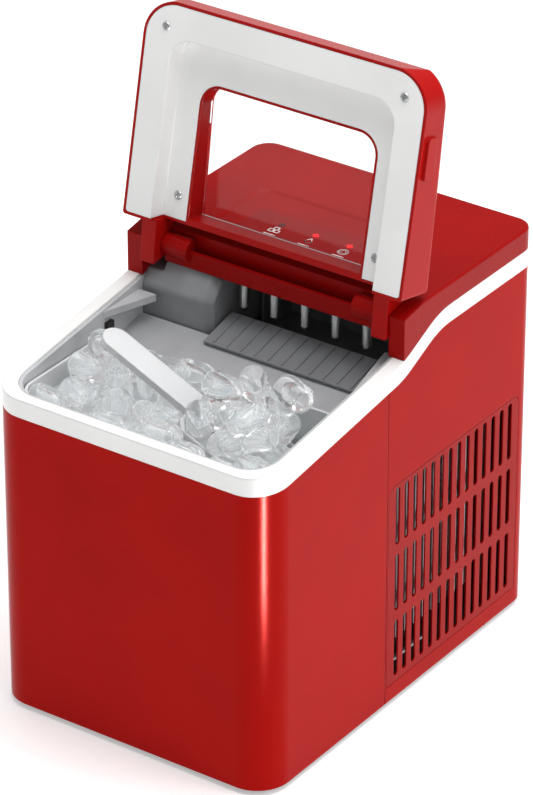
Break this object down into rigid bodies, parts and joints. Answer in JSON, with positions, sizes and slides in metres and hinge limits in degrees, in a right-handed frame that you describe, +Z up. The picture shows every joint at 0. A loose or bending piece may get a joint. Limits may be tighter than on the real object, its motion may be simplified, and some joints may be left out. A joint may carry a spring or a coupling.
{
  "type": "countertop ice maker",
  "caption": "Countertop bullet-ice maker with a hinged windowed lid, lift-out ice basket, chilled rods over a tilting water tray, side grilles, top control panel and drain plug.",
  "frame": {"origin": "centre of the footprint on the surface that the machine stands on", "axes": "+Z up, front of the machine towards -Y, lid hinge line along X"},
  "size_m": [0.2264, 0.3154, 0.4516],
  "materials": {
    "base_grey_plastic": "fine texture",
    "foot_rubber": "matt",
    "front_casing_red": "semi-gloss pearl paint",
    "rear_casing_red": "semi-gloss pearl paint",
    "grille_red_plastic": "semi-gloss",
    "left_grille_red_plastic": "semi-gloss",
    "rear_panel_red": "semi-gloss",
    "inlet_black_plastic": "matt",
    "trim_white_plastic": "satin",
    "tank_grey_plastic": "satin",
    "foam_insulation": "foamed",
    "basket_white_plastic": "satin",
    "scoop_clear_plastic": "clear moulded",
    "slide_grey_plastic": "satin",
    "shovel_grey_plastic": "satin",
    "rod_chrome": "polished",
    "manifold_chrome": "satin nickel",
    "tray_grey_plastic": "satin",
    "bearing_grey_plastic": "satin",
    "coupling_white_plastic": "satin",
    "tray_motor_steel": "zinc plated",
    "housing_grey_plastic": "satin",
    "cover_dark_red": "gloss",
    "hinge_pin_steel": "ground",
    "overlay_dark_film": "gloss film",
    "select_button_dark": "satin",
    "power_button_dark": "satin",
    "indicator_red": "clear red",
    "circuit_green": "solder mask",
    "power_circuit_green": "solder mask",
    "lid_red": "gloss",
    "liner_white_plastic": "satin",
    "lid_screw_steel": "zinc plated",
    "window_clear_red": "clear tinted",
    "casing_screw_steel": "blackened",
    "compressor_black": "satin",
    "grommet_rubber": "matt",
    "compressor_bolt_steel": "zinc plated",
    "fin_aluminium": "mill finish",
    "condenser_copper": "copper",
    "shroud_black_plastic": "matt",
    "fan_black_plastic": "matt",
    "fan_motor_steel": "plated",
    "bracket_steel": "zinc plated",
    "drier_copper": "copper",
    "discharge_copper": "copper",
    "drier_tube_copper": "copper",
    "liquid_copper": "copper",
    "suction_copper": "copper",
    "pump_black_plastic": "matt",
    "impeller_white_plastic": "satin",
    "hose_silicone": "translucent",
    "spout_grey_plastic": "satin",
    "plug_red_rubber": "matt",
    "sensor_black_plastic": "satin",
    "float_white_plastic": "satin"
  },
  "bodies": {
    "frame": {"base_pan": "base_grey_plastic", "rubber_feet": "foot_rubber", "front_casing": "front_casing_red", "rear_casing": "rear_casing_red", "right_grille": "grille_red_plastic", "left_grille": "left_grille_red_plastic", "rear_panel": "rear_panel_red", "power_inlet": "inlet_black_plastic", "trim_rim": "trim_white_plastic", "inner_tank": "tank_grey_plastic", "tank_insulation": "foam_insulation", "ice_slide": "slide_grey_plastic", "freezing_rods": "rod_chrome", "evaporator_manifold": "manifold_chrome", "tray_bearing": "bearing_grey_plastic", "tray_motor": "tray_motor_steel", "motor_housing": "housing_grey_plastic", "top_cover": "cover_dark_red", "hinge_pins": "hinge_pin_steel", "control_overlay": "overlay_dark_film", "indicator_lenses": "indicator_red", "control_board": "circuit_green", "casing_screws": "casing_screw_steel", "compressor": "compressor_black", "compressor_grommets": "grommet_rubber", "compressor_bolts": "compressor_bolt_steel", "condenser_fins": "fin_aluminium", "condenser_tube": "condenser_copper", "fan_shroud": "shroud_black_plastic", "fan_motor": "fan_motor_steel", "fan_bracket": "bracket_steel", "filter_drier": "drier_copper", "discharge_tube": "discharge_copper", "drier_tube": "drier_tube_copper", "liquid_tube": "liquid_copper", "suction_tube": "suction_copper", "water_pump": "pump_black_plastic", "water_hose": "hose_silicone", "drain_spout": "spout_grey_plastic", "ice_sensors": "sensor_black_plastic", "water_level_sensor": "float_white_plastic", "power_board": "power_circuit_green"},
    "lid": {"lid_shell": "lid_red", "lid_liner": "liner_white_plastic", "lid_window": "window_clear_red", "lid_screws": "lid_screw_steel"},
    "basket": {"ice_basket": "basket_white_plastic"},
    "scoop": {"ice_scoop": "scoop_clear_plastic"},
    "select_key": {"select_button": "select_button_dark"},
    "power_key": {"power_button": "power_button_dark"},
    "tray": {"water_tray": "tray_grey_plastic", "drive_coupling": "coupling_white_plastic"},
    "shovel": {"ice_shovel": "shovel_grey_plastic"},
    "fan": {"fan_blade": "fan_black_plastic"},
    "impeller": {"pump_impeller": "impeller_white_plastic"},
    "plug": {"drain_plug": "plug_red_rubber"}
  },
  "joints": [
    {"name": "lid_hinge", "type": "hinge", "parent": "frame", "child": "lid", "pos_m": [0, 0.0095, 0.2817], "axis": [-1, 0, 0], "range_deg": [-109, 0]},
    {"name": "basket_lift", "type": "slide", "parent": "frame", "child": "basket", "axis": [0, 0, 1], "range_m": [0, 0.12]},
    {"name": "scoop_lift", "type": "slide", "parent": "basket", "child": "scoop", "axis": [0, 0, 1], "range_m": [0, 0.15]},
    {"name": "select_press", "type": "slide", "parent": "frame", "child": "select_key", "axis": [0, 0, -1], "range_m": [0, 0.001], "stiffness_N_per_m": 400},
    {"name": "power_press", "type": "slide", "parent": "frame", "child": "power_key", "axis": [0, 0, -1], "range_m": [0, 0.001], "stiffness_N_per_m": 400},
    {"name": "tray_tilt", "type": "hinge", "parent": "frame", "child": "tray", "pos_m": [0, 0.06, 0.262], "axis": [-1, 0, 0], "range_deg": [0, 88]},
    {"name": "shovel_slide", "type": "slide", "parent": "frame", "child": "shovel", "axis": [0, -0.9744, -0.225], "range_m": [0, 0.024]},
    {"name": "fan_spin", "type": "hinge", "parent": "frame", "child": "fan", "pos_m": [0.06, 0.046, 0.088], "axis": [1, 0, 0], "continuous": true},
    {"name": "pump_spin", "type": "hinge", "parent": "frame", "child": "impeller", "pos_m": [0.06, -0.08, 0.04], "axis": [0, 0, 1], "continuous": true},
    {"name": "drain_pull", "type": "slide", "parent": "frame", "child": "plug", "axis": [-1, 0, 0], "range_m": [0, 0.03]}
  ],
  "couplings": [
    {"joint": "shovel_slide", "follows": "tray_tilt", "m_per_rad": 0.01562}
  ]
}
